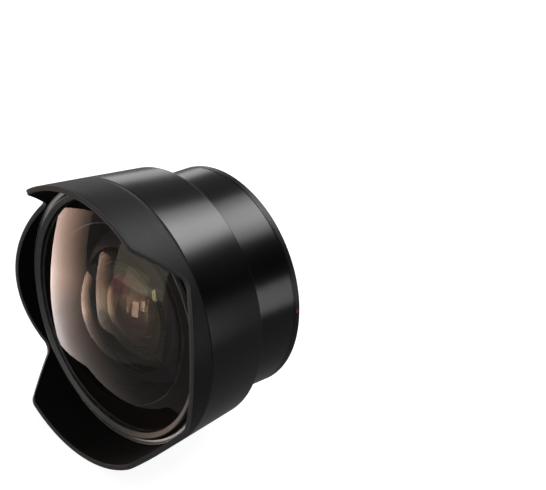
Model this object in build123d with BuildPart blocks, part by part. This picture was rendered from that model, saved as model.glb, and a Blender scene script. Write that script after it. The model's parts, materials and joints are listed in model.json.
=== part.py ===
"""Fisheye converter lens with a petal hood, which locks onto the front of another lens.

Millimetres. The optical axis is Y: the front glass looks along -Y and the mount opens along +Y.
+Z is up and +X is the side with the index mark. The origin is the centre of the rear mount face.
Rings and glasses are turned about the optical axis, so their sections are (radius, y) points.
"""
import os
from math import asin, copysign, degrees, radians, sqrt, tan

from build123d import *

os.makedirs("parts", exist_ok=True)

# Lengths along the optical axis, and outer radii, of the body
rear_barrel_length = 18.9
long_petal_reach = 15.1
short_petal_reach = 7.55
notch_reach = 2.2
seam_radius = 39.85
hood_flare = 1.65
barrel_taper = 2.2
shoulder_step = 4.4
tip_radius = seam_radius + hood_flare
shoulder_radius = seam_radius - barrel_taper
rear_radius = shoulder_radius - shoulder_step

# Half heights of the hood's outline, seen from the side, as shares of its radii
petal_corner_share = 0.829
notch_share = 0.612
rim_steps = 120

# Walls, edges and fits
fit_gap = 0.05
run_gap = 0.3
cut_over = 5.0
hood_wall = 1.6
hood_foot_wall = 1.15
barrel_wall = 1.5
seam_chamfer = 0.15
shoulder_fillet = 0.4
shoulder_wall = 1.6
rim_chamfer = 0.25
petal_corner_fillet = 2.5
notch_fillet = 3.0

# Front ring and the front glass that it holds
cell_rim = 0.65
ring_crest_reach = 3.4
ring_face = 1.65
ring_crest_width = 0.3
ring_bevel_depth = 0.75
ring_lip = 0.45
ring_skirt = 6.2
ring_grooves = 5
ring_groove_depth = 0.07
spanner_notch_width = 1.6
spanner_notch_depth = 0.7
spanner_notch_inset = 0.55
spanner_notch_angle = 16.0
glass_seat = 0.55
front_glass_curve = 70.0
front_glass_edge = 7.0
front_glass_centre = 3.0
front_rim_width = 10.8
seal_thickness = 0.4
seal_width = 2.2

# Second glass, and the ring that holds it inside the front glass's hollow
hollow_margin = 1.0
hollow_clearance = 0.7
second_seat = 2.0
second_curve = 58.0
second_land = 1.2
second_edge = 3.6
second_centre = 2.3
second_rim_width = 6.0
second_ring_lip = 0.75
second_ring_skirt = 2.9
second_gap = 0.65

# Middle pair of cemented glasses
pair_radius = 13.5
pair_front_curve = 80.0
pair_joint_curve = 28.0
pair_rear_curve = 60.0
pair_front_centre = 1.7
pair_rear_edge = 1.55
pair_land = 0.6
pair_rear_land = 1.3
pair_ring_width = 2.7
pair_ring_thickness = 1.6
pair_ring_steps = 4

# Rear pair of cemented glasses
tail_inset = 1.45
tail_gap = 1.9
tail_radius = 15.0
tail_front_curve = 45.0
tail_joint_curve = 32.0
tail_rear_curve = 70.0
tail_front_edge = 1.25
tail_rear_centre = 1.5
tail_land = 0.8
tail_ring_thickness = 1.4
cement = 0.03

# Cell that carries every glass
cell_front_reach = 2.0
cell_web = 2.6
cell_spigot_wall = 2.35
cell_spigot = 1.9
cell_wall = 3.5
cell_tube_wall = 2.4
cell_taper = 6.0
flange_thickness = 2.0

# Bayonet socket at the rear
mount_rim = 3.25
register_length = 4.8
tab_setback = 0.2
tab_thickness = 1.2
tab_reach = 1.7
tab_angle = 46.0
tab_count = 3
groove_length = 1.6
groove_relief = 0.35
mount_flange = 2.1
mount_chamfer = 0.75
sleeve_wall = 0.9
pad_margin = 0.2
pad_width = 3.4
pad_thickness = 0.5
leaf_length = 11.0
leaf_foot = 1.6
leaf_width = 0.8
leaf_thickness = 0.25
leaf_bow = 1.15
leaf_margin = 0.1

# Screws
cell_screw_turns = (90, 210, 330)
cell_screw_inset = 1.7
cell_screw_radius = 0.75
cell_screw_head = 1.45
cell_screw_head_height = 1.1
rear_screw_turns = (45, 135, 225, 315)
barrel_screw_radius = 0.6
barrel_screw_head = 1.05
barrel_screw_head_height = 0.9
barrel_screw_grip = 4.0
mount_screw_radius = 0.45
mount_screw_head = 0.75
mount_screw_head_height = 0.6
mount_screw_margin = 0.15
mount_screw_grip = 2.7
bracket_screw_radius = 0.5
bracket_screw_head = 0.9
bracket_screw_head_height = 0.5
bracket_screw_grip = 3.0
slot_share = 0.5

# Release slider, on the -X side, and the lock pin that it draws back
lever_travel = 8.0
pin_inset = 1.0
pin_radius = 0.8
pin_proud = 1.55
pin_lift = 1.8
bar_radius = 0.5
bar_half = 1.55
ride_gap = 0.25
collar_radius = 1.5
collar_thickness = 0.5
arm_floor = 0.75
inner_rail = 0.95
outer_rail = 0.75
arm_before = 1.5
arm_after = 1.4
neck_width = 3.0
neck_offset = 3.2
neck_thickness = 1.4
knob_thickness = 1.6
knob_length = 14.0
knob_width = 5.0
knob_roof = 0.7
ridge_count = 5
ridge_pitch = 1.7
ridge_width = 0.7
ridge_height = 0.45
spring_radius = 1.25
spring_wire = 0.17
spring_turns = 5
spring_length = 3.9
bracket_plate = 1.0
bracket_edge = 0.9
bracket_end = 1.6
post_radius = 1.0
post_inset = 0.5
post_gap = 0.9

# Index mark, in the mount ring's rim just above the +X side, and the fine groove before the ring
index_margin = 0.125
index_depth = 0.4
index_angle = 3.4
groove_inset = 0.7
groove_width = 0.25
groove_depth = 0.15

# Places along the axis, from the rear mount face forward
shoulder_y = -rear_barrel_length
register_y = -register_length
tab_y = register_y - tab_setback
groove_y = tab_y - tab_thickness
floor_y = groove_y - groove_length
flange_y = floor_y - flange_thickness


def taper(y, y0, r0, y1, r1):
    """Radius at y on the cone through two circles."""
    return r0 + (r1 - r0) * (y - y0) / (y1 - y0)


def barrel_outside(y):
    """Outer radius of the front barrel."""
    return taper(y, seam_y, seam_radius, shoulder_y, shoulder_radius)


def hood_outside(y):
    """Outer radius of the hood."""
    return taper(y, seam_y, seam_radius, tip_y, tip_radius)


def sag(curve, r):
    """Depth of a sphere of this radius of curvature at a distance r from its vertex."""
    return curve - sqrt(curve * curve - r * r)


def curve_of(depth, r):
    """Radius of curvature of a sphere that is this deep at a distance r from its vertex."""
    return (r * r + depth * depth) / (2 * depth)


def section(*points):
    """Closed outline of (radius, y) points as a face beside the optical axis."""
    with BuildSketch(Plane.XY) as outline:
        with BuildLine():
            Polyline(*points, close=True)
        make_face()
    return outline.sketch


def glass_section(edge, front, front_curve, front_reach, rear, rear_curve, rear_reach):
    """Half section of a lens. A curve is positive where its centre lies to the rear of the glass."""
    def point(vertex, curve, r):
        return (r, vertex + copysign(sag(abs(curve), r), curve))

    front_rim = point(front, front_curve, front_reach)
    rear_rim = point(rear, rear_curve, rear_reach)
    with BuildSketch(Plane.XY) as outline:
        with BuildLine():
            ThreePointArc((0, front), point(front, front_curve, front_reach / 2), front_rim)
            Polyline(front_rim, (edge, front_rim[1]), (edge, rear_rim[1]), rear_rim)
            ThreePointArc(rear_rim, point(rear, rear_curve, rear_reach / 2), (0, rear))
            Line((0, rear), (0, front))
        make_face()
    return outline.sketch


def across(y):
    """Plane square to the optical axis at y, whose normal points to the rear."""
    return Plane(origin=(0, y, 0), x_dir=(-1, 0, 0), z_dir=(0, 1, 0))


def outward(distance, turn):
    """Plane that faces out from the axis, turned about it from +X: its y runs along the optical axis."""
    radial = Vector(1, 0, 0).rotate(Axis.Y, turn)
    return Plane(origin=radial * distance, x_dir=Vector(0, 1, 0).cross(radial), z_dir=radial)


def toward_release(distance):
    """Plane that faces out on the release side, -X: its x is up and its y is the optical axis."""
    return outward(distance, 180)


def discs(y, circle, turns, radius):
    """Round outlines square to the optical axis at y, on a circle about it, turned from the release side."""
    with BuildSketch(across(y)) as group:
        for turn in turns:
            with PolarLocations(circle, 1, start_angle=turn):
                Circle(radius)
    return group.sketch


def turned_ring(inner, outer, y0, y1):
    """Plain ring about the optical axis."""
    return section((inner, y0), (outer, y0), (outer, y1), (inner, y1))


# Radii from the outside in: the hood's foot, the cell, the front ring and the glasses in front
socket_radius = seam_radius - barrel_wall - fit_gap
foot_bore = socket_radius - hood_foot_wall
cell_radius = foot_bore - fit_gap
ring_radius = cell_radius - cell_rim - fit_gap
ring_opening = ring_radius - ring_face
front_glass_radius = ring_opening + glass_seat
front_hollow_radius = front_glass_radius - front_rim_width
second_ring_radius = front_hollow_radius - hollow_margin
second_radius = second_ring_radius - second_seat
second_hollow_radius = second_radius - second_rim_width
cone_front_radius = second_ring_radius + fit_gap + cell_wall
cell_spigot_radius = cone_front_radius + cell_spigot_wall
cell_screw_circle = cell_spigot_radius + cell_screw_inset

# Radii from the outside in, at the rear
register_radius = rear_radius - mount_rim
rear_bore = register_radius + sleeve_wall + fit_gap
barrel_screw_circle = (rear_bore + rear_radius) / 2
mount_screw_circle = rear_bore + mount_screw_radius + fit_gap + mount_screw_margin
pin_circle = register_radius - pin_inset
post_circle = pin_circle - post_inset
pad_radius = post_circle - bracket_screw_head - pad_margin
leaf_circle = sqrt((register_radius - leaf_margin) ** 2 - (leaf_length / 2) ** 2) - leaf_width / 2

# Places of the cemented pairs, from the socket's floor forward
tail_land_radius = tail_radius - tail_land
tail_joint_radius = tail_radius - cement
tail_rear_vertex = floor_y - tail_inset
tail_back_y = tail_rear_vertex - sag(tail_rear_curve, tail_land_radius)
tail_joint_vertex = tail_rear_vertex - tail_rear_centre - cement
tail_front_y = tail_joint_vertex - sag(tail_joint_curve, tail_joint_radius) - tail_front_edge
tail_vertex = tail_front_y - sag(tail_front_curve, tail_land_radius)

pair_land_radius = pair_radius - pair_land
pair_rear_land_radius = pair_radius - pair_rear_land
pair_joint_radius = pair_radius - cement
pair_rear_vertex = tail_vertex - tail_gap
pair_back_y = pair_rear_vertex - sag(pair_rear_curve, pair_rear_land_radius)
pair_joint_vertex = pair_back_y - pair_rear_edge - sag(pair_joint_curve, pair_joint_radius) - cement
pair_vertex = pair_joint_vertex - pair_front_centre
pair_front_y = pair_vertex - sag(pair_front_curve, pair_land_radius)
pair_ring_radius = pair_radius + pair_ring_width
trap_front_y = pair_front_y - pair_ring_thickness

# Places of the second glass and the front glass, from the middle pair's ring forward
second_back_y = trap_front_y - second_gap
second_front_y = second_back_y - second_edge
second_land_radius = second_radius - second_land
second_vertex = second_front_y - sag(second_curve, second_land_radius)
second_hollow_vertex = second_vertex + second_centre
second_hollow_curve = curve_of(second_back_y - second_hollow_vertex, second_hollow_radius)

front_land = ring_opening - fit_gap
front_hollow_depth = sag(front_glass_curve, front_land) + front_glass_edge - front_glass_centre
front_hollow_curve = curve_of(front_hollow_depth, front_hollow_radius)
front_hollow_vertex = second_front_y - hollow_clearance - sag(front_hollow_curve, second_ring_radius)
front_vertex = front_hollow_vertex - front_glass_centre
front_back_y = front_hollow_vertex + front_hollow_depth
ledge_y = front_back_y + seal_thickness

# Places of the front ring, the seam and the hood's edge, from the front glass forward
glass_y = front_back_y - front_glass_edge
ring_edge_y = glass_y - ring_lip
ring_crest_y = ring_edge_y - ring_bevel_depth
seam_y = ring_crest_y + ring_crest_reach
tip_y = seam_y - long_petal_reach
side_tip_y = seam_y - short_petal_reach
notch_y = seam_y - notch_reach

# Places inside the cell and the barrels
cell_front_y = seam_y - cell_front_reach
cell_back_y = ledge_y + cell_web
foot_y = cell_back_y - cell_web / 2
spigot_y = cell_back_y + cell_spigot
mount_front_y = -mount_flange
index_y = -(mount_flange + mount_chamfer) / 2
index_radius = (mount_flange - mount_chamfer) / 2 - index_margin

# Places of the release slider, the lock pin and its bracket
bar_y = flange_y - run_gap - arm_floor - ride_gap - bar_radius
collar_y = bar_y - bar_radius - collar_thickness
bracket_y = collar_y - spring_length
arm_back_y = flange_y - run_gap
arm_low_y = arm_back_y - arm_floor
arm_high_y = arm_low_y - pin_lift
pin_stroke = pin_circle * radians(lever_travel)
neck_y = arm_back_y - neck_thickness / 2
slot_stroke = rear_radius * radians(lever_travel)
slot_length = slot_stroke + neck_width + 2 * run_gap
fork_half = pin_radius + run_gap / 2
fork_end = pin_stroke + fork_half
rail_face = pin_circle + fork_half
arm_left = -arm_before
arm_right = fork_end + arm_after
post_reach = arm_right + post_gap + post_radius
post_angle = degrees(post_reach / post_circle)
post_turns = (-post_angle, post_angle)
bracket_angle = 2 * degrees((post_reach + post_radius + bracket_end) / post_circle)


def gap_outline(distance):
    """Gap between the long petals on the plane square to X at a distance, widening out from the optical axis."""
    half = [rim_half @ (step / rim_steps) for step in range(rim_steps + 1)]
    upper = [(p.X, distance * tan(asin(p.Y / hood_outside(p.X)))) for p in half]
    lower = [(y, -height) for y, height in reversed(upper[1:])]
    with BuildSketch(Plane.YZ.offset(distance)) as gap:
        with BuildLine():
            Spline(*lower, *upper)
            Polyline(
                upper[-1], (tip_y - cut_over, upper[-1][1]), (tip_y - cut_over, lower[0][1]), lower[0]
            )
        make_face()
    return gap.sketch


# Petal hood: a thin cone whose front edge is cut along one outline, square to its wall
petal_corner_height = tip_radius * petal_corner_share
notch_height = seam_radius * notch_share
front_y = tip_y - 2 * fit_gap
arch_curve = curve_of(notch_y - side_tip_y, notch_height)
with BuildLine() as rim_line:
    ThreePointArc(
        (side_tip_y, 0), (side_tip_y + sag(arch_curve, notch_height / 2), notch_height / 2), (notch_y, notch_height)
    )
    Polyline((notch_y, notch_height), (front_y, petal_corner_height), (front_y, petal_corner_height + petal_corner_fillet))
    for height, radius in ((notch_height, notch_fillet), (petal_corner_height, petal_corner_fillet)):
        fillet([v for v in rim_line.vertices() if abs(v.Y - height) < fit_gap], radius)
rim_half = rim_line.wire()
with BuildPart() as hood:
    revolve(
        section(
            (seam_radius - seam_chamfer, seam_y),
            (hood_outside(seam_y - seam_chamfer), seam_y - seam_chamfer),
            (hood_outside(tip_y + rim_chamfer), tip_y + rim_chamfer),
            (tip_radius - rim_chamfer, tip_y),
            (tip_radius - hood_wall, tip_y),
            (hood_outside(cell_front_y) - hood_wall, cell_front_y),
            (foot_bore, cell_front_y),
            (foot_bore, foot_y),
            (socket_radius, foot_y),
            (socket_radius, seam_y),
        ),
        axis=Axis.Y,
    )
    gap = loft([gap_outline(cut_over), gap_outline(tip_radius + cut_over)], ruled=True, mode=Mode.SUBTRACT)
    mirror(gap, about=Plane.YZ, mode=Mode.SUBTRACT)
hood.part.label = "hood"

# Bevelled ring that holds the front glass: fine steps on the bevel, a skirt that screws into the cell
bevel_inner = ring_opening
bevel_outer = ring_radius - ring_crest_width
bevel_points = []
for step in range(ring_grooves):
    near = step / ring_grooves
    far = (step + 1) / ring_grooves
    bevel_points.append((
        bevel_outer + (bevel_inner - bevel_outer) * near,
        ring_crest_y + ring_bevel_depth * near,
    ))
    bevel_points.append((
        bevel_outer + (bevel_inner - bevel_outer) * far,
        ring_crest_y + ring_bevel_depth * far - ring_groove_depth,
    ))
with BuildPart() as front_ring:
    revolve(
        section(
            (ring_radius, ring_crest_y),
            *bevel_points,
            (ring_opening, glass_y),
            (front_glass_radius + fit_gap, glass_y),
            (front_glass_radius + fit_gap, glass_y + ring_skirt),
            (ring_radius, glass_y + ring_skirt),
        ),
        axis=Axis.Y,
    )
    with BuildSketch(across(ring_crest_y)):
        with PolarLocations(ring_radius, 2, start_angle=spanner_notch_angle - 90):
            Rectangle(2 * spanner_notch_inset, spanner_notch_width)
    extrude(amount=spanner_notch_depth, mode=Mode.SUBTRACT)
front_ring.part.label = "front_ring"

with BuildPart() as front_seal:
    seal_outer = front_glass_radius - fit_gap
    revolve(turned_ring(seal_outer - seal_width, seal_outer, front_back_y, ledge_y), axis=Axis.Y)
front_seal.part.label = "front_seal"

# Glasses, from the front to the rear
with BuildPart() as front_element:
    revolve(
        glass_section(
            front_glass_radius, front_vertex, front_glass_curve, front_land,
            front_hollow_vertex, front_hollow_curve, front_hollow_radius,
        ),
        axis=Axis.Y,
    )
front_element.part.label = "front_element"

with BuildPart() as second_element:
    revolve(
        glass_section(
            second_radius, second_vertex, second_curve, second_land_radius,
            second_hollow_vertex, second_hollow_curve, second_hollow_radius,
        ),
        axis=Axis.Y,
    )
second_element.part.label = "second_element"

with BuildPart() as third_element:
    revolve(
        glass_section(
            pair_radius, pair_vertex, -pair_front_curve, pair_land_radius,
            pair_joint_vertex, pair_joint_curve, pair_joint_radius,
        ),
        axis=Axis.Y,
    )
third_element.part.label = "third_element"

with BuildPart() as fourth_element:
    revolve(
        glass_section(
            pair_radius, pair_joint_vertex + cement, pair_joint_curve, pair_joint_radius,
            pair_rear_vertex, -pair_rear_curve, pair_rear_land_radius,
        ),
        axis=Axis.Y,
    )
fourth_element.part.label = "fourth_element"

with BuildPart() as fifth_element:
    revolve(
        glass_section(
            tail_radius, tail_vertex, tail_front_curve, tail_land_radius,
            tail_joint_vertex, -tail_joint_curve, tail_joint_radius,
        ),
        axis=Axis.Y,
    )
fifth_element.part.label = "fifth_element"

with BuildPart() as sixth_element:
    revolve(
        glass_section(
            tail_radius, tail_joint_vertex + cement, -tail_joint_curve, tail_joint_radius,
            tail_rear_vertex, -tail_rear_curve, tail_land_radius,
        ),
        axis=Axis.Y,
    )
sixth_element.part.label = "sixth_element"

# Threaded rings that hold the inner glasses
second_ring_inner = second_land_radius + fit_gap
with BuildPart() as second_ring:
    revolve(
        section(
            (second_ring_inner, second_front_y - second_ring_lip),
            (second_ring_radius, second_front_y),
            (second_ring_radius, second_front_y + second_ring_skirt - second_ring_lip),
            (second_radius + fit_gap, second_front_y + second_ring_skirt - second_ring_lip),
            (second_radius + fit_gap, second_front_y),
            (second_ring_inner, second_front_y),
        ),
        axis=Axis.Y,
    )
second_ring.part.label = "second_ring"

# The ring before the middle pair has a stepped cone, which traps stray light
trap_points = []
trap_outer = pair_ring_radius - fit_gap - pair_land
for step in range(pair_ring_steps):
    trap_r = trap_outer + (pair_land_radius - trap_outer) * step / (pair_ring_steps - 1)
    trap_points.append((trap_r, trap_front_y + pair_ring_thickness * step / pair_ring_steps))
    trap_points.append((trap_r, trap_front_y + pair_ring_thickness * (step + 1) / pair_ring_steps))
with BuildPart() as pair_ring:
    revolve(
        section(
            (pair_ring_radius - fit_gap, trap_front_y),
            *trap_points,
            (pair_ring_radius - fit_gap, pair_front_y),
        ),
        axis=Axis.Y,
    )
pair_ring.part.label = "pair_ring"

with BuildPart() as rear_ring:
    revolve(
        turned_ring(tail_land_radius + fit_gap, tail_radius, tail_back_y, tail_back_y + tail_ring_thickness),
        axis=Axis.Y,
    )
rear_ring.part.label = "rear_ring"

# Lens cell: the stepped tube that carries every glass, with a flange that closes the mount socket
tail_bore = tail_radius + fit_gap
pair_bore = pair_radius + fit_gap
tube_radius = tail_bore + cell_tube_wall
with BuildPart() as lens_cell:
    revolve(
        section(
            (cell_radius, cell_front_y),
            (cell_radius, cell_back_y),
            (cell_spigot_radius, cell_back_y),
            (cell_spigot_radius, spigot_y),
            (cone_front_radius, spigot_y),
            (tube_radius, spigot_y + cell_taper),
            (tube_radius, flange_y),
            (rear_bore - fit_gap, flange_y),
            (rear_bore - fit_gap, floor_y),
            (tail_bore, floor_y),
            (tail_bore, tail_front_y),
            (tail_land_radius, tail_front_y),
            (tail_land_radius, pair_back_y + tail_gap),
            (pair_rear_land_radius, pair_back_y + tail_gap),
            (pair_rear_land_radius, pair_back_y),
            (pair_bore, pair_back_y),
            (pair_bore, pair_front_y + fit_gap),
            (pair_ring_radius, pair_front_y + fit_gap),
            (pair_ring_radius, second_back_y),
            (second_radius + fit_gap, second_back_y),
            (second_radius + fit_gap, second_front_y + second_ring_skirt),
            (second_ring_radius + fit_gap, second_front_y + second_ring_skirt),
            (second_ring_radius + fit_gap, ledge_y),
            (ring_radius + fit_gap, ledge_y),
            (ring_radius + fit_gap, cell_front_y),
        ),
        axis=Axis.Y,
    )
    # counterbored holes for the screws that hold the cell on the front barrel
    extrude(
        discs(ledge_y, cell_screw_circle, cell_screw_turns, cell_screw_head + fit_gap),
        amount=cell_screw_head_height + fit_gap, mode=Mode.SUBTRACT,
    )
    extrude(
        discs(ledge_y, cell_screw_circle, cell_screw_turns, cell_screw_radius + fit_gap),
        amount=cell_web, mode=Mode.SUBTRACT,
    )
    # hole for the lock pin, on the -X side
    extrude(
        discs(floor_y, pin_circle, [0], pin_radius + fit_gap),
        amount=-flange_thickness, mode=Mode.SUBTRACT,
    )
    # counterbored holes for the screws of the pin's bracket
    extrude(
        discs(floor_y, post_circle, post_turns, bracket_screw_head + fit_gap),
        amount=-bracket_screw_head_height - fit_gap, mode=Mode.SUBTRACT,
    )
    extrude(
        discs(floor_y, post_circle, post_turns, bracket_screw_radius + fit_gap),
        amount=-flange_thickness, mode=Mode.SUBTRACT,
    )
lens_cell.part.label = "lens_cell"

# Front barrel: tapered skin with a web for the cell and a shoulder at its rear
web_y = cell_back_y + shoulder_wall
shoulder_front_y = shoulder_y - shoulder_wall
with BuildPart() as front_barrel:
    revolve(
        section(
            (barrel_outside(seam_y) - seam_chamfer, seam_y),
            (barrel_outside(seam_y + seam_chamfer), seam_y + seam_chamfer),
            (shoulder_radius, shoulder_y),
            (rear_bore, shoulder_y),
            (rear_bore, shoulder_front_y),
            (barrel_outside(shoulder_front_y) - barrel_wall, shoulder_front_y),
            (barrel_outside(web_y) - barrel_wall, web_y),
            (cell_spigot_radius + fit_gap, web_y),
            (cell_spigot_radius + fit_gap, cell_back_y),
            (barrel_outside(cell_back_y) - barrel_wall, cell_back_y),
            (barrel_outside(foot_y) - barrel_wall, foot_y + fit_gap),
            (socket_radius + fit_gap, foot_y + fit_gap),
            (socket_radius + fit_gap, seam_y),
        ),
        axis=Axis.Y,
    )
    shoulder_edge = front_barrel.edges().filter_by(GeomType.CIRCLE).filter_by_position(
        Axis.Y, shoulder_y - fit_gap, shoulder_y + fit_gap
    ).sort_by(SortBy.RADIUS)[-1]
    fillet(shoulder_edge, shoulder_fillet)
    extrude(
        discs(cell_back_y, cell_screw_circle, cell_screw_turns, cell_screw_radius + fit_gap),
        amount=shoulder_wall, mode=Mode.SUBTRACT,
    )
    extrude(
        discs(shoulder_front_y, barrel_screw_circle, rear_screw_turns, barrel_screw_radius + fit_gap),
        amount=shoulder_wall, mode=Mode.SUBTRACT,
    )
front_barrel.part.label = "front_barrel"

# Rear barrel: straight tube with the slot of the release slider and a fine groove near its end
line_y = mount_front_y - groove_inset
with BuildPart() as rear_barrel:
    revolve(turned_ring(rear_bore, rear_radius, shoulder_y, mount_front_y), axis=Axis.Y)
    extrude(
        discs(shoulder_y, barrel_screw_circle, rear_screw_turns, barrel_screw_radius + fit_gap),
        amount=barrel_screw_grip, mode=Mode.SUBTRACT,
    )
    extrude(
        discs(mount_front_y, mount_screw_circle, rear_screw_turns, mount_screw_radius + fit_gap),
        amount=-mount_screw_grip, mode=Mode.SUBTRACT,
    )
    revolve(
        turned_ring(rear_radius - groove_depth, rear_radius + cut_over, line_y, line_y + groove_width),
        axis=Axis.Y,
        mode=Mode.SUBTRACT,
    )
    with BuildSketch(toward_release(rear_bore - cut_over)):
        with Locations((neck_offset - slot_stroke / 2, neck_y)):
            RectangleRounded(slot_length, neck_thickness + 2 * run_gap, run_gap)
    extrude(amount=2 * cut_over, mode=Mode.SUBTRACT)
rear_barrel.part.label = "rear_barrel"

# Mount ring: rear rim, the register sleeve that takes the other lens, and the bayonet tabs
with BuildPart() as mount_ring:
    revolve(
        section(
            (register_radius, 0),
            (rear_radius - mount_chamfer, 0),
            (rear_radius, -mount_chamfer),
            (rear_radius, mount_front_y),
            (register_radius + sleeve_wall, mount_front_y),
            (register_radius + sleeve_wall, floor_y),
            (register_radius + groove_relief, floor_y),
            (register_radius + groove_relief, register_y),
            (register_radius, register_y),
        ),
        axis=Axis.Y,
    )
    for tab in range(tab_count):
        revolve(
            turned_ring(register_radius - tab_reach, register_radius + sleeve_wall * 2 / 3, groove_y, tab_y)
            .rotate(Axis.Y, tab * 360 / tab_count - tab_angle / 2),
            axis=Axis.Y,
            revolution_arc=tab_angle,
        )
    extrude(
        discs(0, mount_screw_circle, rear_screw_turns, mount_screw_head + fit_gap),
        amount=-mount_screw_head_height - fit_gap, mode=Mode.SUBTRACT,
    )
    extrude(
        discs(0, mount_screw_circle, rear_screw_turns, mount_screw_radius + fit_gap),
        amount=-mount_flange, mode=Mode.SUBTRACT,
    )
    with BuildSketch(outward(rear_radius - index_depth, -index_angle)):
        with Locations((0, index_y)):
            Circle(index_radius + fit_gap)
    extrude(amount=cut_over, mode=Mode.SUBTRACT)
mount_ring.part.label = "mount_ring"

# Index mark: an inlaid dot whose face follows the ring's rim
with BuildPart() as index_mark:
    with BuildSketch(outward(rear_radius - index_depth, -index_angle)):
        with Locations((0, index_y)):
            Circle(index_radius)
    extrude(amount=cut_over)
    revolve(
        turned_ring(rear_radius - 2 * index_depth, rear_radius, -mount_flange, 0),
        axis=Axis.Y,
        mode=Mode.INTERSECT,
    )
index_mark.part.label = "index_mark"

with BuildPart() as seat_pad:
    revolve(turned_ring(pad_radius - pad_width, pad_radius, floor_y, floor_y + pad_thickness), axis=Axis.Y)
seat_pad.part.label = "seat_pad"


def screws(circle, turns, y, direction, radius, head, head_height, length):
    """Group of slotted screws: their heads' outer faces lie at y and they point along direction times Y."""
    with BuildPart() as group:
        extrude(discs(y, circle, turns, head), amount=direction * head_height)
        extrude(discs(y, circle, turns, radius), amount=direction * length)
        for turn in turns:
            with BuildSketch(across(y)):
                with PolarLocations(circle, 1, start_angle=turn):
                    Rectangle(2 * head, radius * slot_share)
            extrude(amount=direction * head_height * slot_share, mode=Mode.SUBTRACT)
    return group


cell_screws = screws(
    cell_screw_circle, cell_screw_turns, ledge_y + fit_gap, 1,
    cell_screw_radius, cell_screw_head, cell_screw_head_height, cell_web + shoulder_wall - fit_gap,
)
cell_screws.part.label = "cell_screws"
barrel_screws = screws(
    barrel_screw_circle, rear_screw_turns, shoulder_front_y - barrel_screw_head_height, 1,
    barrel_screw_radius, barrel_screw_head, barrel_screw_head_height,
    barrel_screw_head_height + shoulder_wall + barrel_screw_grip - run_gap,
)
barrel_screws.part.label = "barrel_screws"
mount_screws = screws(
    mount_screw_circle, rear_screw_turns, -fit_gap, -1,
    mount_screw_radius, mount_screw_head, mount_screw_head_height, mount_flange + mount_screw_grip - run_gap,
)
mount_screws.part.label = "mount_screws"

# Leaf springs: bowed strips with flat feet on the socket's floor, one under each bayonet tab
leaf_end = leaf_length / 2
bow_end = leaf_end - leaf_foot
leaf_top = floor_y + leaf_thickness
with BuildPart() as leaf_springs:
    for tab in range(tab_count):
        with BuildSketch(outward(leaf_circle - leaf_width / 2, tab * 360 / tab_count)):
            with BuildLine():
                ThreePointArc((-bow_end, floor_y), (0, floor_y + leaf_bow), (bow_end, floor_y))
                ThreePointArc((-bow_end, leaf_top), (0, leaf_top + leaf_bow), (bow_end, leaf_top))
                for side in (-1, 1):
                    bow = side * bow_end
                    end = side * leaf_end
                    Polyline((bow, floor_y), (end, floor_y), (end, leaf_top), (bow, leaf_top))
            make_face()
        extrude(amount=leaf_width)
leaf_springs.part.label = "leaf_springs"

# Release arm: forked ramp on the pin, with a neck that reaches out through the barrel's slot
arm_rail_inner = pin_circle - fork_half - inner_rail
arm_rail_outer = rail_face + outer_rail
knob_inner = rear_radius + run_gap / 2
knob_outer = knob_inner + knob_thickness
with BuildPart() as release_arm:
    with BuildSketch(toward_release(arm_rail_inner)):
        with BuildLine():
            Polyline(
                (arm_left, arm_back_y), (arm_right, arm_back_y), (arm_right, arm_high_y),
                (pin_stroke, arm_high_y), (0, arm_low_y), (arm_left, arm_low_y),
                close=True,
            )
        make_face()
    extrude(amount=arm_rail_outer - arm_rail_inner + run_gap)
    revolve(
        turned_ring(arm_rail_inner, arm_rail_outer, arm_high_y, arm_back_y),
        axis=Axis.Y,
        mode=Mode.INTERSECT,
    )
    fork_low = degrees((arm_before + cut_over) / pin_circle)
    revolve(
        turned_ring(pin_circle - fork_half, rail_face, arm_high_y - cut_over, arm_back_y + cut_over)
        .rotate(Axis.Y, 180 - fork_low),
        axis=Axis.Y,
        revolution_arc=fork_low + degrees(fork_end / pin_circle),
        mode=Mode.SUBTRACT,
    )
    with BuildSketch(toward_release(rail_face)):
        with Locations((neck_offset, neck_y)):
            Rectangle(neck_width, neck_thickness)
    extrude(amount=knob_outer - knob_roof - fit_gap - rail_face)
release_arm.part.label = "release_arm"

# Release knob: curved plate on the outside of the rear barrel, with grip ridges
ridge_reach = knob_width / 2 - ridge_width
with BuildPart() as release_knob:
    with BuildSketch(toward_release(0)):
        with Locations((neck_offset, neck_y)):
            RectangleRounded(knob_length, knob_width, knob_width / 4)
    extrude(amount=knob_outer + cut_over)
    revolve(
        turned_ring(knob_inner, knob_outer, neck_y - knob_width, neck_y + knob_width),
        axis=Axis.Y,
        mode=Mode.INTERSECT,
    )
    ridge_top = knob_outer + ridge_height
    for ridge in range(ridge_count):
        ridge_start = neck_offset + (ridge - (ridge_count - 1) / 2) * ridge_pitch - ridge_width / 2
        revolve(
            turned_ring(knob_outer - ridge_height, ridge_top, neck_y - ridge_reach, neck_y + ridge_reach)
            .rotate(Axis.Y, 180 + degrees(ridge_start / knob_outer)),
            axis=Axis.Y,
            revolution_arc=degrees(ridge_width / knob_outer),
        )
    with BuildSketch(toward_release(0)):
        with Locations((neck_offset, neck_y)):
            Rectangle(neck_width + 2 * fit_gap, neck_thickness + 2 * fit_gap)
    extrude(amount=knob_outer - knob_roof, mode=Mode.SUBTRACT)
release_knob.part.label = "release_knob"

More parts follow.
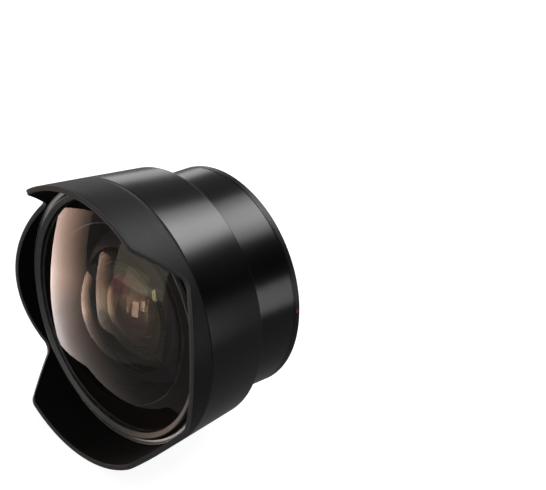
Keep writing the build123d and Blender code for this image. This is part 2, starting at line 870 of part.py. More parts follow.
# Lock pin, with the bar that rides on the ramp and the collar under its spring
pin_tip_y = floor_y + pin_proud
with BuildPart() as lock_pin:
    extrude(discs(pin_tip_y, pin_circle, [0], pin_radius), amount=bracket_y - bracket_plate - pin_tip_y)
    extrude(discs(collar_y, pin_circle, [0], collar_radius), amount=collar_thickness)
    with BuildSketch(toward_release(pin_circle - bar_half)):
        with Locations((0, bar_y)):
            Circle(bar_radius)
    extrude(amount=2 * bar_half)
    chamfer(lock_pin.faces().sort_by(Axis.Y)[-1].edges(), run_gap)
lock_pin.part.label = "lock_pin"

# Spring round the pin, between the collar and the bracket
spring_pitch = (spring_length - 2 * spring_wire) / spring_turns
with BuildPart() as lock_spring:
    with BuildLine():
        coil = Helix(
            spring_pitch, spring_pitch * spring_turns, spring_radius,
            center=(-pin_circle, bracket_y + spring_wire, 0), direction=(0, 1, 0),
        )
    with BuildSketch(Plane(origin=coil @ 0, z_dir=coil % 0)):
        Circle(spring_wire)
    sweep(path=coil, is_frenet=True)
lock_spring.part.label = "lock_spring"

# Bracket that guides the pin's front end: an arc plate on two posts
bracket_inner = post_circle - post_radius - bracket_edge
with BuildPart() as pin_bracket:
    revolve(
        turned_ring(bracket_inner, rear_bore - run_gap, bracket_y - bracket_plate, bracket_y)
        .rotate(Axis.Y, -180 - bracket_angle / 2),
        axis=Axis.Y,
        revolution_arc=bracket_angle,
    )
    extrude(discs(bracket_y, post_circle, post_turns, post_radius), amount=flange_y - bracket_y)
    extrude(
        discs(flange_y, post_circle, post_turns, bracket_screw_radius + fit_gap),
        amount=-bracket_screw_grip, mode=Mode.SUBTRACT,
    )
    extrude(
        discs(bracket_y, pin_circle, [0], pin_radius + fit_gap),
        amount=-bracket_plate, mode=Mode.SUBTRACT,
    )
pin_bracket.part.label = "pin_bracket"

bracket_screws = screws(
    post_circle, post_turns, floor_y - fit_gap, -1,
    bracket_screw_radius, bracket_screw_head, bracket_screw_head_height,
    flange_thickness + bracket_screw_grip - run_gap,
)
bracket_screws.part.label = "bracket_screws"

pieces = (
    hood, front_ring, front_seal, front_element, second_element, third_element, fourth_element,
    fifth_element, sixth_element, second_ring, pair_ring, rear_ring, lens_cell, front_barrel,
    rear_barrel, index_mark, mount_ring, seat_pad, cell_screws, barrel_screws, mount_screws,
    leaf_springs, release_arm, release_knob, lock_pin, lock_spring, pin_bracket, bracket_screws,
)
for piece in pieces:
    export_step(piece.part, f"parts/{piece.part.label}.step")
    print(piece.part.label, round(piece.part.volume, 2), "mm3,", len(piece.part.solids()), "solids")
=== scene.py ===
# %% [markdown]
# # A fisheye converter lens, dressed for a product picture
# The lens screws together from turned rings, ground glasses and one moulded petal hood. The CAD model
# already holds every piece in its place, so this lesson starts from it and adds what a picture needs:
# round edges that catch light, real glass, and the finish of each material.
# The optical axis runs along Y, with the front glass at -Y. Blender counts in metres here, and sizes are
# written in millimetres and scaled where a mesh is made.

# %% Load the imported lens
import json
from math import asin, cos, pi, radians, sin, sqrt, tan

import bmesh
import bpy
from mathutils import Matrix, Vector

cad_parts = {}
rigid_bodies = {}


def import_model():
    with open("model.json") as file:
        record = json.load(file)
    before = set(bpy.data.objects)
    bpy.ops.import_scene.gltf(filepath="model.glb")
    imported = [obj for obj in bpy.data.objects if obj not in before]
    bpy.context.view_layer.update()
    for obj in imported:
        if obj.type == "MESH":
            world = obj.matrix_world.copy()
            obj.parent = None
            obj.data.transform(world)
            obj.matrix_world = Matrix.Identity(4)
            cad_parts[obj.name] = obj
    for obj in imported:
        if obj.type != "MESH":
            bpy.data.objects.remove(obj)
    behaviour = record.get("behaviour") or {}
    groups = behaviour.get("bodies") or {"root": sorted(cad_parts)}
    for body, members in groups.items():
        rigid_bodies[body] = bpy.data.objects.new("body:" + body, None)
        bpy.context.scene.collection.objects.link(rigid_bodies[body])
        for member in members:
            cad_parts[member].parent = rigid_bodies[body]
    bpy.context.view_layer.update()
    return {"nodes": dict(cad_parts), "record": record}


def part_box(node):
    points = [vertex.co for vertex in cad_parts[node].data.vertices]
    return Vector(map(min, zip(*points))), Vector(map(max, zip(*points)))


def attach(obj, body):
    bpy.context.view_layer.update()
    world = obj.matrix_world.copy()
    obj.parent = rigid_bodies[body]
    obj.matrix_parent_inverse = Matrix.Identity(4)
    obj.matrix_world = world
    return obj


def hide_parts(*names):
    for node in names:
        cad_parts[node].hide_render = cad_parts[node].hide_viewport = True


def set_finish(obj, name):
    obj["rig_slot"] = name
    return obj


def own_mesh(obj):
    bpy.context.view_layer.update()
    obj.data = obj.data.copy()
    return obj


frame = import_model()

MM = 0.001

# %% [markdown]
# ## Sizes from the frame
# A piece that stands for a CAD node has to lie exactly where the node lies. So the places along the axis
# and the outer radii are read from the nodes' own boxes, in millimetres, and only what a box can't tell,
# such as a wall or a curvature, is written out below.

# %% Reading places and radii from the nodes
def span(node_name):
    """Where a CAD node starts and ends along the axis."""
    low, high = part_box(node_name)
    return low[1] / MM, high[1] / MM


def reach(node_name):
    """How far a CAD node reaches from the axis."""
    low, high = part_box(node_name)
    return max(high[0], high[2]) / MM


tip_y, foot_y = span("hood")
seam_y, shoulder_y = span("front_barrel")
crest_y, ring_foot_y = span("front_ring")
print("tip, seam and shoulder along the axis:", round(tip_y, 2), round(seam_y, 2), round(shoulder_y, 2))

# %% [markdown]
# ## The camera first
# A long lens on the camera keeps the two barrels nearly parallel, as they look in a catalogue picture.
# The camera is placed by its position and three directions, which are the columns of its matrix. That is
# plainer than Euler angles when the picture is also rolled a little.

# %% Camera
camera_data = bpy.data.cameras.new("product_camera")
camera_data.lens = 118.68
camera_data.sensor_width = 36.0
camera_data.clip_start = 0.01
camera = bpy.data.objects.new("product_camera", camera_data)
bpy.context.scene.collection.objects.link(camera)
camera_right = Vector((0.67560, 0.73654, 0.03268))
camera_up = Vector((-0.34444, 0.27613, 0.89728))
camera_ahead = Vector((-0.65186, 0.61746, -0.44024))
camera.matrix_world = Matrix((camera_right, camera_up, -camera_ahead)).transposed().to_4x4()
camera.location = Vector((0.35424, -0.31608, 0.24286))
bpy.context.scene.camera = camera
print("camera is", round(camera.location.length, 3), "m from the lens")

# %% [markdown]
# ## The petal hood
# The hood is one thin moulded cone with long petals above and below and short ones left and right. Its
# front edge is square to the wall all the way round, so the edge has one place along the axis for each
# angle about it. A boolean could cut the petals, but it would leave ragged triangles along the edge, just
# where the light runs. So the edge is worked out for each angle, and rows of faces are laid from the seam
# up to it on the outside and down again on the inside.

# %% Arcs and round corners
nearly_straight = radians(88)
most_of_run = 0.45


def curve_of(depth, r):
    """Radius of curvature of a sphere that is this deep at a distance r from its vertex."""
    return (r * r + depth * depth) / (2 * depth)


def sag(curve, r):
    """Depth of a sphere at a distance r from its vertex. A negative curve bulges the other way."""
    depth = abs(curve) - sqrt(curve * curve - r * r)
    return depth if curve > 0 else -depth


def round_corner(before, corner, after, radius, steps=4):
    """Points of the arc that rounds a corner between two straight runs."""
    corner = Vector(corner)
    to_before = Vector(before) - corner
    to_after = Vector(after) - corner
    half = to_before.angle(to_after) / 2
    if half > nearly_straight:
        return [tuple(corner)]
    radius = min(radius, most_of_run * min(to_before.length, to_after.length) * tan(half))
    to_before.normalize()
    to_after.normalize()
    centre = corner + (to_before + to_after).normalized() * radius / sin(half)
    first = corner + to_before * radius / tan(half) - centre
    last = corner + to_after * radius / tan(half) - centre
    sweep = first.angle(last)
    return [
        tuple(centre + (first * sin((1 - i / steps) * sweep) + last * sin(i / steps * sweep)) / sin(sweep))
        for i in range(steps + 1)
    ]


print("a square corner is rounded by", len(round_corner((1, 0), (0, 0), (0, 1), 0.2)), "points")

# %% Hood edge, drawn from the side
# The barrel's front edge has a chamfer, so its box ends a little short of the seam's full radius.
seam_chamfer = 0.15
seam_radius, tip_radius = reach("front_barrel"), reach("hood")
seam_radius += seam_chamfer * (tip_radius - seam_radius) / (seam_y - tip_y)
hood_wall, socket_radius, foot_bore = 1.6, 38.3, 37.15
side_tip_depth, notch_depth, notch_share, corner_share = 7.55, 12.9, 0.612, 0.829
side_tip_y, notch_y = tip_y + side_tip_depth, tip_y + notch_depth
notch_height, corner_height = seam_radius * notch_share, tip_radius * corner_share
arch_curve = curve_of(notch_y - side_tip_y, notch_height)
arch_steps, beyond = 60, 0.1
arch = []
for step in range(arch_steps + 1):
    height = notch_height * step / arch_steps
    arch.append((height, side_tip_y + sag(arch_curve, height)))
petal_corner, petal_end = (corner_height, tip_y - beyond), (tip_radius, tip_y - beyond)
petal_round_radius, petal_round_steps = 2.5, 12
petal_round = round_corner(arch[-1], petal_corner, petal_end, petal_round_radius, petal_round_steps)
notch_round_radius, notch_round_steps, notch_reach, steps_back = 3.0, 14, 2.4, 8
kept_arch = [point for point in arch if point[0] < notch_height - notch_reach]
notch_round = round_corner(
    kept_arch[-steps_back], arch[-1], petal_corner, notch_round_radius, notch_round_steps,
)
edge_line = kept_arch + notch_round + petal_round
print("a quarter of the edge is drawn with", len(edge_line), "points")

# %% [markdown]
# The edge was drawn flat, as it looks from the index side: a height above the axis, and a place along it.
# Wrapped round the cone, that height lies at the angle whose sine is the height over the cone's radius.
# The four quarters are alike, so this one list of angles serves the whole edge.

# %% Hood edge, wrapped round the cone
def hood_radius(y, depth=0.0):
    """Radius of the hood's skin at y, a depth below its outside."""
    return seam_radius + (tip_radius - seam_radius) * (y - seam_y) / (tip_y - seam_y) - depth


edge_turns = [(asin(height / hood_radius(y)), y) for height, y in edge_line]


def edge_at(angle):
    """Where the hood's front edge lies along the axis, at an angle about it."""
    turn = asin(min(1.0, abs(sin(angle))))
    for (turn0, y0), (turn1, y1) in zip(edge_turns, edge_turns[1:]):
        if turn <= turn1:
            return max(tip_y, y0 + (y1 - y0) * (turn - turn0) / (turn1 - turn0))
    return tip_y


print("edge at the side and the tip:", round(edge_at(0), 2), round(edge_at(pi / 2), 2))

# %% [markdown]
# At each angle, the section runs from the seam forward over the outside, round the edge, back along the
# inside to a ledge, which is flush with the cell's rim, and down the foot. Each face also gets a number,
# which picks its finish later: the edge, the inside and the ledge don't look like the outside.

# %% One column of the hood
OUTSIDE, EDGE, INSIDE, LEDGE = 0, 1, 2, 3
wall_rows, least_depth = 12, 0.01
edge_round, inner_round, ledge_chamfer = 0.3, 0.18, 0.1
outer_turns, inner_turns = (30, 60, 90), (90, 60, 30, 0)
hood_ledge_y = span("lens_cell")[0]


def hood_column(angle):
    """The hood's section at an angle: radius, y, and the finish of the face that starts there."""
    edge_y, start_y = edge_at(angle), seam_y - seam_chamfer
    outer, inner = hood_radius(edge_y), hood_radius(edge_y, hood_wall)
    column = [
        (socket_radius, seam_y, INSIDE), (seam_radius - seam_chamfer, seam_y, OUTSIDE),
        (hood_radius(start_y), start_y, OUTSIDE),
    ]
    for step in range(1, wall_rows + 1):
        y = start_y + (edge_y + edge_round - start_y) * step / wall_rows
        column.append((hood_radius(y), y, OUTSIDE if step < wall_rows else EDGE))
    for turn in outer_turns:
        fall, back = edge_round * (1 - cos(radians(turn))), edge_round * (1 - sin(radians(turn)))
        column.append((outer - fall, edge_y + back, EDGE))
    for turn in inner_turns:
        fall, back = inner_round * (1 - cos(radians(turn))), inner_round * (1 - sin(radians(turn)))
        column.append((inner + fall, edge_y + back, EDGE if turn else INSIDE))
    inside_depth = max(hood_ledge_y - edge_y - inner_round, least_depth)
    for step in range(1, wall_rows + 1):
        y = edge_y + inner_round + inside_depth * step / wall_rows
        column.append((hood_radius(y, hood_wall), y, INSIDE if step < wall_rows else LEDGE))
    ledge_radius, ledge_y, _ = column[-1]
    return column + [
        (ledge_radius - ledge_chamfer, ledge_y, LEDGE), (foot_bore + ledge_chamfer, ledge_y, LEDGE),
        (foot_bore, ledge_y + ledge_chamfer, INSIDE), (foot_bore, foot_y, INSIDE),
        (socket_radius, foot_y, INSIDE),
    ]


row_finish = [finish for _, _, finish in hood_column(0)]
print("one column of the hood has", len(row_finish), "points")

# %% [markdown]
# Every piece is laid out as plain points, so three helpers serve them all. Smooth shading alone would smear
# the light over a flat that lies beside a round edge. The Weighted Normal modifier lets the normals follow
# the large faces, and the flats look flat.

# %% A mesh from points
def finish_mesh(piece):
    """Smooth shading whose normals follow the large faces, so that flats stay flat beside round edges."""
    for face in piece.data.polygons:
        face.use_smooth = True
    normals = piece.modifiers.new("even_normals", "WEIGHTED_NORMAL")
    normals.weight = 100
    normals.keep_sharp = True
    return piece


def mesh_piece(name, vertices, faces):
    """A new object from points in millimetres, with its faces turned outward."""
    data = bpy.data.meshes.new(name)
    data.from_pydata([(x * MM, y * MM, z * MM) for x, y, z in vertices], [], faces)
    work = bmesh.new()
    work.from_mesh(data)
    bmesh.ops.recalc_face_normals(work, faces=work.faces)
    work.to_mesh(data)
    work.free()
    piece = bpy.data.objects.new(name, data)
    bpy.context.scene.collection.objects.link(piece)
    return piece


def place(piece, body, material_slot, *nodes):
    """Says what the piece moves with, whose finish it has and which CAD nodes it stands for."""
    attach(piece, body)
    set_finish(piece, material_slot)
    if nodes:
        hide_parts(*nodes)
    return piece


# %% Hood mesh
hood_steps = 1080
hood_points, hood_faces = [], []
for i in range(hood_steps):
    angle = 2 * pi * i / hood_steps
    hood_points += [(r * cos(angle), y, r * sin(angle)) for r, y, _ in hood_column(angle)]
per_column = len(row_finish)
for i in range(hood_steps):
    for k in range(per_column):
        a, b = i * per_column, (i + 1) % hood_steps * per_column
        hood_faces.append((a + k, b + k, b + (k + 1) % per_column, a + (k + 1) % per_column))
hood = mesh_piece("petal_hood", hood_points, hood_faces)
for face, k in zip(hood.data.polygons, list(range(per_column)) * hood_steps):
    face.material_index = row_finish[k]
place(finish_mesh(hood), "housing", "hood_plastic", "hood")
print("petal_hood has", len(hood.data.polygons), "faces")

# %% [markdown]
# ## Turned pieces
# Nearly every other piece of a lens is made on a lathe, so one helper does most of the work: it takes a
# half section as (radius, y) points in millimetres and turns it about the optical axis. The Screw modifier
# could do that too, but plain vertices let each piece choose its own number of steps. A second helper
# rounds the section's corners, because a real edge is never sharp and its small radius is what glints.

# %% Turning a half section into a mesh
on_axis = 1e-6


def rounded(points, radius, steps=4):
    """The same closed outline with each corner replaced by a small arc."""
    out = []
    for i, here in enumerate(points):
        out += round_corner(points[i - 1], here, points[(i + 1) % len(points)], radius, steps)
    return out


def turned_mesh(outline, steps, start=0.0, sweep=360.0, closed=True):
    """Vertices and faces of an outline turned about Y. A point on the axis becomes one vertex."""
    vertices, faces, rows = [], [], []
    whole = sweep >= 360.0
    stations = steps if whole else steps + 1
    for r, y in outline:
        if r < on_axis:
            rows.append([len(vertices)] * stations)
            vertices.append((0.0, y, 0.0))
            continue
        rows.append(list(range(len(vertices), len(vertices) + stations)))
        for i in range(stations):
            angle = radians(start + sweep * i / steps)
            vertices.append((r * cos(angle), y, r * sin(angle)))
    pairs = list(zip(rows, rows[1:])) + ([(rows[-1], rows[0])] if closed else [])
    for near, far in pairs:
        for i in range(steps):
            j = (i + 1) % stations
            corners = []
            for corner in (near[i], near[j], far[j], far[i]):
                if corner not in corners:
                    corners.append(corner)
            if len(corners) > 2:
                faces.append(corners)
    if not whole:
        faces.append([row[0] for row in rows])
        faces.append([row[-1] for row in rows])
    return vertices, faces


square_ring = turned_mesh([(1, 0), (2, 0), (2, 1), (1, 1)], 8)
print("a square section turned in 8 steps has", len(square_ring[1]), "faces")


def turned(name, outline, material_slot, cad_node, body="housing", steps=480, closed=True):
    """A whole turned piece that stands for one CAD node."""
    piece = mesh_piece(name, *turned_mesh(outline, steps, closed=closed))
    place(finish_mesh(piece), body, material_slot, cad_node)
    print(name, "has", len(piece.data.polygons), "faces")
    return piece


# %% [markdown]
# ## The front ring
# A thin black ring holds the front glass. Its face is a shallow bevel with fine turned steps, and two
# notches take a spanner. The steps are drawn as real geometry in the section, so they stay crisp from any
# side; a bump map would fade where the ring is seen edge-on.

# %% Front ring
fit_gap = 0.05
ring_radius, glass_radius = reach("front_ring"), reach("front_element")
ring_land, ring_opening, bevel_depth, ring_lip = 0.3, 34.75, 0.75, 0.45
bevel_outer, ring_grooves, groove_depth = ring_radius - ring_land, 5, 0.07
ring_inner_y, ring_edge_round = crest_y + bevel_depth + ring_lip, 0.05
ring_outline = [(ring_radius, crest_y)]
for step in range(ring_grooves):
    for share, depth in ((step / ring_grooves, 0.0), ((step + 1) / ring_grooves, groove_depth)):
        ring_outline.append((
            bevel_outer + (ring_opening - bevel_outer) * share, crest_y + bevel_depth * share - depth,
        ))
ring_outline += [
    (ring_opening, ring_inner_y), (glass_radius + fit_gap, ring_inner_y),
    (glass_radius + fit_gap, ring_foot_y), (ring_radius, ring_foot_y),
]
ring_section = rounded(ring_outline, ring_edge_round, steps=2)
front_ring = turned("front_ring_turned", ring_section, "ring_metal", "front_ring")

# %% [markdown]
# The notches are milled into the finished ring. A boolean does the same here: a cutter is subtracted and
# deleted. It is the simplest tool for a small opening with plain edges, so the slider's slot, the screw
# holes and the hole for the index dot are cut that way too.

# %% Cutting with a second mesh
def cut(piece, cutter):
    """Subtracts a cutter from a piece and deletes the cutter."""
    piece.modifiers.clear()
    boolean = piece.modifiers.new("cut", "BOOLEAN")
    boolean.operation = "DIFFERENCE"
    boolean.solver = "EXACT"
    boolean.object = cutter
    bpy.context.view_layer.update()
    ready = piece.evaluated_get(bpy.context.evaluated_depsgraph_get())
    data = bpy.data.meshes.new_from_object(ready)
    piece.modifiers.clear()
    piece.data = data
    bpy.data.objects.remove(cutter)
    finish_mesh(piece)


def block(name, turn, near, far, y0, y1, width):
    """A plain block that points out from the axis at a turn about it, only used as a cutter."""
    out = Vector((cos(radians(turn)), 0, sin(radians(turn))))
    side = Vector((-out.z, 0, out.x)) * width / 2
    corners = []
    for distance in (near, far):
        for y in (y0, y1):
            for sideways in (-side, side):
                corners.append(tuple(out * distance + Vector((0, y, 0)) + sideways))
    sides = [(0, 1, 3, 2), (4, 6, 7, 5), (0, 4, 5, 1), (2, 3, 7, 6), (0, 2, 6, 4), (1, 5, 7, 3)]
    return mesh_piece(name, corners, sides)


# %% Spanner notches
spanner_turns, spanner_width, spanner_depth, spanner_inset, cut_over = (106, 286), 1.6, 0.7, 0.55, 1
for turn in spanner_turns:
    cut(front_ring, block(
        "spanner_cutter", -turn, ring_radius - spanner_inset, ring_radius + cut_over,
        crest_y - cut_over, crest_y + spanner_depth, spanner_width,
    ))
print("front ring with its spanner notches has", len(front_ring.data.polygons), "faces")

# %% [markdown]
# ## The barrels
# Behind the hood sit a tapered barrel and a straight, narrower one. Both are aluminium tubes with a satin
# black enamel. The joint between them is a flat shoulder with a small round edge, and a hairline shows
# where the hood ends. Chamfers on both sides of that seam draw the hairline by their shadow, so no dark
# line has to be painted. The line near the rear rim is a narrow turned groove for the same reason.

# %% Front barrel
rear_bore, barrel_wall, web, barrel_taper = 30.95, 1.5, 1.6, 2.2
shoulder_radius = seam_radius - barrel_taper
flange_behind_foot, spigot_radius, barrel_edge_round = 1.3, 29.45, 0.3
cell_back_y = foot_y + flange_behind_foot


def barrel_radius(y, depth=0.0):
    """Radius of the tapered barrel's skin at y, a depth below its outside."""
    return seam_radius + (shoulder_radius - seam_radius) * (y - seam_y) / (shoulder_y - seam_y) - depth


barrel_outline = rounded([
    (barrel_radius(seam_y, seam_chamfer), seam_y),
    (barrel_radius(seam_y + seam_chamfer), seam_y + seam_chamfer),
    (shoulder_radius, shoulder_y), (rear_bore, shoulder_y), (rear_bore, shoulder_y - web),
    (barrel_radius(shoulder_y - web, barrel_wall), shoulder_y - web),
    (barrel_radius(cell_back_y + web, barrel_wall), cell_back_y + web),
    (spigot_radius, cell_back_y + web), (spigot_radius, cell_back_y),
    (barrel_radius(cell_back_y, barrel_wall), cell_back_y),
    (barrel_radius(foot_y, barrel_wall), foot_y + fit_gap), (socket_radius + fit_gap, foot_y + fit_gap),
    (socket_radius + fit_gap, seam_y),
], barrel_edge_round)
turned("front_barrel_turned", barrel_outline, "barrel_metal", "front_barrel")

# %% Rear barrel
# The slot's middle is given as a length along the barrel's skin, and the cutter's ends lie well clear of
# the wall on both sides.
rear_radius, rear_edge_round = 33.25, 0.05
mount_front_y = span("rear_barrel")[1]
line_inset, line_width, line_depth = 0.7, 0.25, 0.15
line_y = mount_front_y - line_inset
rear_outline = rounded([
    (rear_bore, shoulder_y), (rear_radius, shoulder_y), (rear_radius, line_y),
    (rear_radius - line_depth, line_y), (rear_radius - line_depth, line_y + line_width),
    (rear_radius, line_y + line_width), (rear_radius, mount_front_y), (rear_bore, mount_front_y),
], rear_edge_round, steps=2)
rear_barrel = turned("rear_barrel_turned", rear_outline, "barrel_metal", "rear_barrel")
slot_y0, slot_y1, slot_length, slot_middle = -11.8, -9.8, 8.2426, 0.879
slot_turn = 180 - slot_middle / rear_radius * 180 / pi
slot_near, slot_far = 28.0, 36.0
cut(rear_barrel, block("slot_cutter", slot_turn, slot_near, slot_far, slot_y0, slot_y1, slot_length))
print("rear barrel with its slot has", len(rear_barrel.data.polygons), "faces")

# %% [markdown]
# ## The mount ring
# The rear rim is a dense black ring. From behind it shows the bayonet: three tabs inside a smooth
# register, and four slotted screws. The ring is turned, the tabs are part rings, and the holes for the
# screws and the red index dot are cut by round bars.

# %% Mount ring
register_radius, register_y, floor_y = 30.0, -4.8, span("mount_ring")[0]
sleeve_wall, groove_relief, mount_chamfer, mount_edge_round = 0.9, 0.35, 0.75, 0.08
mount_outline = rounded([
    (register_radius, 0.0), (rear_radius - mount_chamfer, 0.0), (rear_radius, -mount_chamfer),
    (rear_radius, mount_front_y), (register_radius + sleeve_wall, mount_front_y),
    (register_radius + sleeve_wall, floor_y), (register_radius + groove_relief, floor_y),
    (register_radius + groove_relief, register_y), (register_radius, register_y),
], mount_edge_round, steps=3)
mount_ring = turned("mount_ring_turned", mount_outline, "mount_metal", "mount_ring")

# %% Holes for the screws and the index dot
bar_length = 2.0


def round_bar(name, start, ahead, radius, length, steps=48):
    """A round bar from a point in a direction, only used as a cutter."""
    ahead = Vector(ahead).normalized()
    side = ahead.orthogonal().normalized()
    other = ahead.cross(side)
    vertices = []
    for distance in (0.0, length):
        for i in range(steps):
            turn = 2 * pi * i / steps
            outward = (side * cos(turn) + other * sin(turn)) * radius
            vertices.append(tuple(Vector(start) + ahead * distance + outward))
    faces = [(i, (i + 1) % steps, steps + (i + 1) % steps, steps + i) for i in range(steps)]
    return mesh_piece(name, vertices, faces + [list(range(steps)), list(range(steps, 2 * steps))])


screw_turns, screw_circle, screw_hole, screw_seat = (45, 135, 225, 315), 31.6, 0.8, -0.65
for turn in screw_turns:
    x, z = -screw_circle * cos(radians(turn)), screw_circle * sin(radians(turn))
    cut(mount_ring, round_bar("screw_cutter", (x, screw_seat, z), (0, 1, 0), screw_hole, bar_length))
dot_turn, dot_y, dot_radius, dot_depth = radians(3.4), -1.425, 0.6, 0.4
dot_out = Vector((cos(dot_turn), 0, sin(dot_turn)))
dot_start = dot_out * (rear_radius - dot_depth) + Vector((0, dot_y, 0))
cut(mount_ring, round_bar("dot_cutter", dot_start, dot_out, dot_radius, bar_length, steps=64))
print("mount ring with its holes has", len(mount_ring.data.polygons), "faces")

# %% Bayonet tabs
tab_sweep, tab_inner, tab_outer, tab_count, tab_steps = 46.0, 28.3, 30.6, 3, 60
tab_y, groove_y, tab_edge_round = -5.0, -6.2, 0.12
tab_outline = rounded([
    (tab_inner, groove_y), (tab_outer, groove_y), (tab_outer, tab_y), (tab_inner, tab_y),
], tab_edge_round, steps=3)
for tab in range(tab_count):
    tab_start = -tab * 360 / tab_count - tab_sweep / 2
    tab_mesh = turned_mesh(tab_outline, tab_steps, tab_start, tab_sweep)
    tab_piece = mesh_piece(f"bayonet_tab_{tab + 1}", *tab_mesh)
    place(finish_mesh(tab_piece), "housing", "mount_metal")
print("made", tab_count, "tabs of", tab_sweep, "degrees")

# %% [markdown]
# ## The lock spring
# A small coil spring pushes the lock pin home, and it gets shorter when the slider is pushed. A rigid solid
# can't do that, so the coil is made here as a mesh: a round wire that follows a helix.

# %% Coil
spring_low, spring_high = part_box("lock_spring")
spring_start, spring_end = spring_low[1] / MM, spring_high[1] / MM
spring_middle = (spring_low[0] + spring_high[0]) / 2 / MM
wire_radius, spring_turns, steps_per_turn, wire_sides = 0.17, 5, 48, 14
coil_radius = (spring_high[0] - spring_low[0]) / 2 / MM - wire_radius
climb = spring_end - spring_start - 2 * wire_radius
coil_points, coil_faces = [], []
coil_steps = spring_turns * steps_per_turn
for step in range(coil_steps + 1):
    turn = 2 * pi * step / steps_per_turn
    out = Vector((cos(turn), 0, sin(turn)))
    along = Vector((
        -sin(turn) * 2 * pi * coil_radius, climb / spring_turns, cos(turn) * 2 * pi * coil_radius,
    ))
    across = out.cross(along.normalized())
    height = spring_start + wire_radius + climb * step / coil_steps
    middle = Vector((spring_middle, height, 0)) + out * coil_radius
    for side in range(wire_sides):
        around = 2 * pi * side / wire_sides
        coil_points.append(tuple(middle + (out * cos(around) + across * sin(around)) * wire_radius))
for step in range(coil_steps):
    for side in range(wire_sides):
        near, far, after = step * wire_sides, (step + 1) * wire_sides, (side + 1) % wire_sides
        coil_faces.append((near + side, near + after, far + after, far + side))
coil_faces += [list(range(wire_sides)), list(range(coil_steps * wire_sides, (coil_steps + 1) * wire_sides))]
lock_coil = place(
    finish_mesh(mesh_piece("lock_coil", coil_points, coil_faces)), "housing", "spring_steel", "lock_spring",
)
print("lock coil has", spring_turns, "turns and", len(lock_coil.data.polygons), "faces")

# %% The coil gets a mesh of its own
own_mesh(lock_coil)

# %% [markdown]
# ## The glasses
# A lens surface is a piece of a sphere, so each glass is two domes joined by a ground edge. The section is
# drawn from the axis out over the front, along the edge and back over the rear. Many steps along the dome
# matter here: a reflection shows every flat. The ground edge and the flat rim behind it get black paint,
# which keeps stray light out, so those faces take a second finish.

# %% Drawing a glass
FACE, PAINTED, BACK = 0, 1, 2
dome_steps, glass_steps, glass_bevel, rim_inset = 48, 360, 0.15, 0.12


def dome(vertex, curve, width):
    """Points of a sphere's section from the axis out to a radius, with one close inside the rim."""
    even_parts = dome_steps - 1
    places = [width * i / even_parts for i in range(even_parts)] + [width - rim_inset, width]
    return [(r, vertex + sag(curve, r)) for r in places]


def glass(name, cad_node, material_slot, front, rear):
    """A lens between two surfaces (vertex, curve, width). A positive curve has its centre to the rear."""
    front_dome, rear_dome = dome(*front), dome(*rear)
    edge = reach(cad_node)
    edge_points = [
        (edge - glass_bevel, front_dome[-1][1]), (edge, front_dome[-1][1] + glass_bevel),
        (edge, rear_dome[-1][1] - glass_bevel), (edge - glass_bevel, rear_dome[-1][1]),
    ]
    outline = front_dome + edge_points + rear_dome[::-1]
    piece = turned(name, outline, material_slot, cad_node, steps=glass_steps, closed=False)
    for index, face in enumerate(piece.data.polygons):
        row = index // glass_steps
        on_edge = dome_steps <= row < dome_steps + len(edge_points) + 1
        face.material_index = PAINTED if on_edge else FACE if row < dome_steps else BACK


# %% Front and second glass
front_vertex, front_back = span("front_element")
front_curve, front_width, hollow_width, front_centre = 70.0, 34.7, 24.5, 3.0
hollow_vertex = front_vertex + front_centre
hollow_curve = curve_of(front_back - hollow_vertex, hollow_width)
glass(
    "front_glass", "front_element", "front_glass",
    (front_vertex, front_curve, front_width), (hollow_vertex, hollow_curve, hollow_width),
)
second_vertex, second_back = span("second_element")
second_curve, second_width, second_hollow_width, second_centre = 58.0, 20.3, 15.5, 2.3
second_hollow = second_vertex + second_centre
second_hollow_curve = curve_of(second_back - second_hollow, second_hollow_width)
glass(
    "second_glass", "second_element", "second_glass",
    (second_vertex, second_curve, second_width), (second_hollow, second_hollow_curve, second_hollow_width),
)

# %% [markdown]
# The deeper glasses are cemented pairs: two glasses that share one curve. They stay two pieces here, with
# a film of cement between them, because two glass surfaces in exactly the same place would render with
# dark specks.

# %% Cemented pairs
cement = 0.03
third_rim, _ = span("third_element")
fourth_vertex, fourth_back = span("fourth_element")
pair_front_curve, pair_joint_curve, pair_back_curve = -80.0, 28.0, -60.0
pair_width, pair_joint_width, pair_back_width = 12.9, 13.3, 12.2
third_vertex = third_rim - sag(pair_front_curve, pair_width)
glass(
    "third_glass", "third_element", "pair_glass",
    (third_vertex, pair_front_curve, pair_width),
    (fourth_vertex - cement, pair_joint_curve, pair_joint_width),
)
glass(
    "fourth_glass", "fourth_element", "pair_glass",
    (fourth_vertex, pair_joint_curve, pair_joint_width), (fourth_back, pair_back_curve, pair_back_width),
)
fifth_vertex, fifth_joint = span("fifth_element")
_, sixth_back = span("sixth_element")
tail_front_curve, tail_joint_curve, tail_back_curve = 45.0, -32.0, -70.0
tail_width, tail_joint_width = 14.2, 14.8
glass(
    "fifth_glass", "fifth_element", "tail_glass",
    (fifth_vertex, tail_front_curve, tail_width), (fifth_joint, tail_joint_curve, tail_joint_width),
)
glass(
    "sixth_glass", "sixth_element", "tail_glass",
    (fifth_joint + cement, tail_joint_curve, tail_joint_width), (sixth_back, tail_back_curve, tail_width),
)

# %% [markdown]
# ## Materials
# Nearly all the pieces that show are black, so the picture lives from how each black shines: matte moulded
# plastic, satin enamel, dense anodising, rubber. Each finish gets its own grain as bump and a little change
# of roughness, at the size that the real process leaves. Numbers that are the same all over are set on the
# shader.

# %% A helper for solid finishes
def node(tree, kind, **inputs):
    """A new shader node with some of its inputs set by name."""
    new = tree.nodes.new(kind)
    for name, value in inputs.items():
        new.inputs[name.replace("_", " ")].default_value = value
    return new


